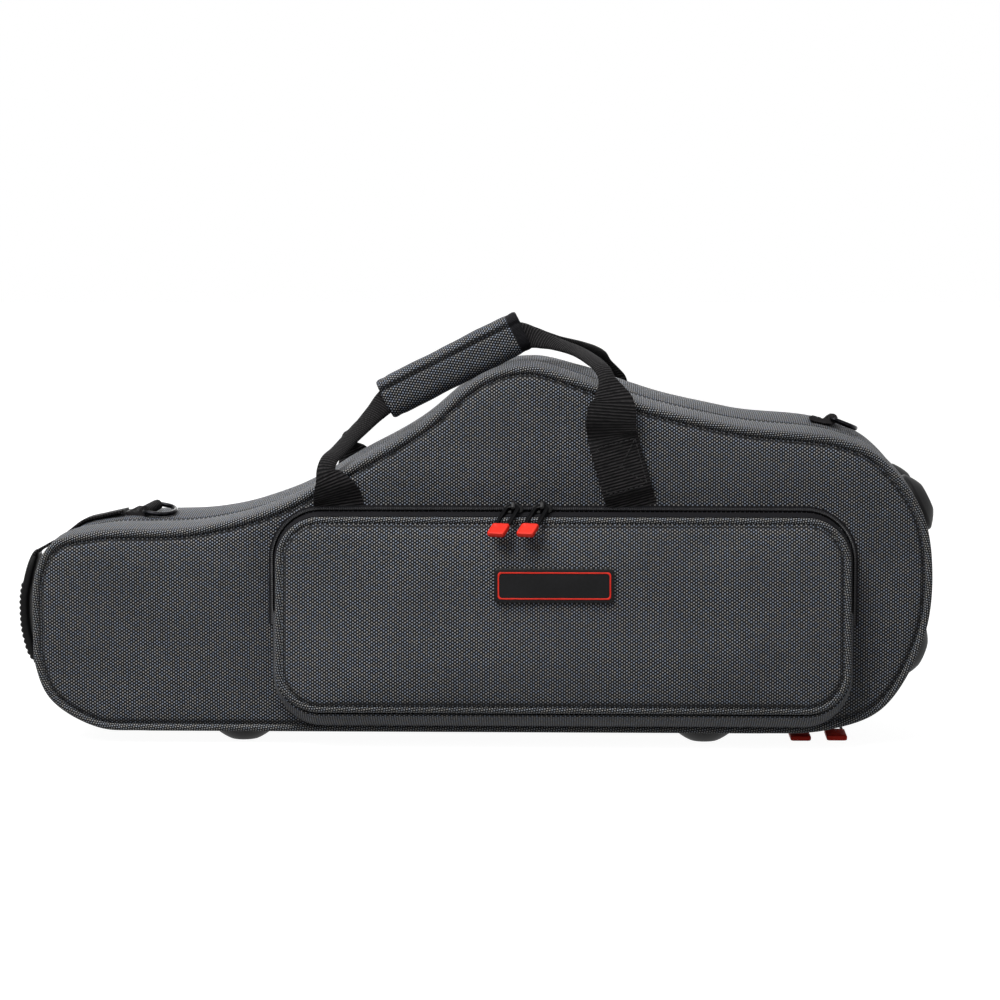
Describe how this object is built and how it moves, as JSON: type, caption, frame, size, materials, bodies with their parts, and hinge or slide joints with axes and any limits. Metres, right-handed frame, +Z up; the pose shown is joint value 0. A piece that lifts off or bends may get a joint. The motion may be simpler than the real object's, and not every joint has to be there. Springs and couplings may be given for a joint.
{
  "type": "contoured zip case",
  "caption": "Contoured padded instrument case: two fabric shells joined by a zip, with a front pocket, a wrapped carrying handle, an end handle, strap rings, rubber feet and end bumpers.",
  "frame": {"origin": "under the middle of the whole object, on the surface that its feet stand on", "axes": "+X along the case towards the wide bell end, +Y from the pocket face to the back, +Z up"},
  "size_m": [0.7336, 0.2352, 0.3318],
  "materials": {
    "shell_fabric": "woven, coated, with a fine lattice of dots",
    "piping_fabric": "woven binding round a cord",
    "foam_board": "closed-cell foam board",
    "plush": "short-pile velour",
    "zip_tape": "coil zip tape",
    "webbing": "ribbed woven webbing",
    "black_rubber": "moulded, satin",
    "black_metal": "gloss black",
    "red_rubber": "moulded, satin"
  },
  "bodies": {
    "base": {"base_cover": "shell_fabric", "base_board": "foam_board", "base_tray": "plush", "base_piping": "piping_fabric", "base_zip_tape": "zip_tape", "hinge_tape": "shell_fabric", "handle_strap_rear": "webbing", "grip_wrap_rear": "shell_fabric", "d_ring_tab_left": "webbing", "d_ring_tab_right": "webbing", "foot_rear_left": "black_rubber", "foot_rear_right": "black_rubber", "bumper_rear_upper": "black_rubber", "bumper_rear_lower": "black_rubber", "end_handle_strap": "webbing", "end_handle_grip": "black_rubber"},
    "lid": {"lid_cover": "shell_fabric", "lid_board": "foam_board", "lid_lining": "plush", "lid_piping": "piping_fabric", "lid_zip_tape": "zip_tape", "handle_strap_front": "webbing", "grip_wrap_front": "shell_fabric", "foot_front_left": "black_rubber", "foot_front_right": "black_rubber", "bumper_front_upper": "black_rubber", "bumper_front_lower": "black_rubber", "pocket_gusset": "shell_fabric", "pocket_panel_lower": "shell_fabric", "pocket_piping_lower": "piping_fabric", "pocket_zip_tape_shell": "zip_tape"},
    "pocket_flap": {"pocket_panel_upper": "shell_fabric", "pocket_piping_upper": "piping_fabric", "pocket_zip_tape_flap": "zip_tape", "badge": "black_rubber"},
    "d_ring_left": {"d_ring_left": "black_metal"},
    "d_ring_right": {"d_ring_right": "black_metal"},
    "pocket_slider_left": {"pocket_slider_left": "black_metal"},
    "pocket_pull_left": {"pocket_pull_left": "black_metal", "pocket_pull_tip_left": "red_rubber"},
    "pocket_slider_right": {"pocket_slider_right": "black_metal"},
    "pocket_pull_right": {"pocket_pull_right": "black_metal", "pocket_pull_tip_right": "red_rubber"},
    "main_slider_left": {"main_slider_left": "black_metal"},
    "main_pull_left": {"main_pull_left": "black_metal", "main_pull_tip_left": "red_rubber"},
    "main_slider_right": {"main_slider_right": "black_metal"},
    "main_pull_right": {"main_pull_right": "black_metal", "main_pull_tip_right": "red_rubber"}
  },
  "joints": [
    {"name": "lid_hinge", "type": "hinge", "parent": "base", "child": "lid", "pos_m": [0.01075, 0.00416, 0.0108], "axis": [1, 0, 0], "range_deg": [0, 110], "deforming": ["hinge_tape"]},
    {"name": "pocket_flap_hinge", "type": "hinge", "parent": "lid", "child": "pocket_flap", "pos_m": [0.01075, -0.10897, 0.098], "axis": [1, 0, 0], "range_deg": [0, 60]},
    {"name": "pocket_slider_left_slide", "type": "slide", "parent": "pocket_flap", "child": "pocket_slider_left", "axis": [1, 0, 0], "range_m": [-0.13, 0]},
    {"name": "pocket_slider_right_slide", "type": "slide", "parent": "pocket_flap", "child": "pocket_slider_right", "axis": [1, 0, 0], "range_m": [0, 0.19]},
    {"name": "pocket_pull_left_swing", "type": "hinge", "parent": "pocket_slider_left", "child": "pocket_pull_left", "pos_m": [0.03629, -0.08694, 0.1853], "axis": [-0.9336, 0.2971, 0.2004], "range_deg": [0, 80]},
    {"name": "pocket_pull_right_swing", "type": "hinge", "parent": "pocket_slider_right", "child": "pocket_pull_right", "pos_m": [0.05829, -0.08694, 0.1853], "axis": [-0.9336, 0.2971, 0.2004], "range_deg": [0, 80]},
    {"name": "main_slider_left_slide", "type": "slide", "parent": "lid", "child": "main_slider_left", "axis": [1, 0, 0], "range_m": [-0.013, 0]},
    {"name": "main_slider_right_slide", "type": "slide", "parent": "lid", "child": "main_slider_right", "axis": [1, 0, 0], "range_m": [0, 0.02]},
    {"name": "main_pull_left_swing", "type": "hinge", "parent": "main_slider_left", "child": "main_pull_left", "pos_m": [0.25895, -0.00184, 0.00472], "axis": [1, 0, 0], "range_deg": [0, 60]},
    {"name": "main_pull_right_swing", "type": "hinge", "parent": "main_slider_right", "child": "main_pull_right", "pos_m": [0.28695, -0.00184, 0.00799], "axis": [1, 0, 0], "range_deg": [0, 60]},
    {"name": "d_ring_left_swing", "type": "hinge", "parent": "base", "child": "d_ring_left", "pos_m": [-0.25979, 0.03316, 0.17301], "axis": [-0.3072, -0.9393, -0.1525], "range_deg": [0, 160]},
    {"name": "d_ring_right_swing", "type": "hinge", "parent": "base", "child": "d_ring_right", "pos_m": [0.28928, 0.03316, 0.2459], "axis": [-0.0575, -0.997, 0.0526], "range_deg": [0, 160]}
  ]
}
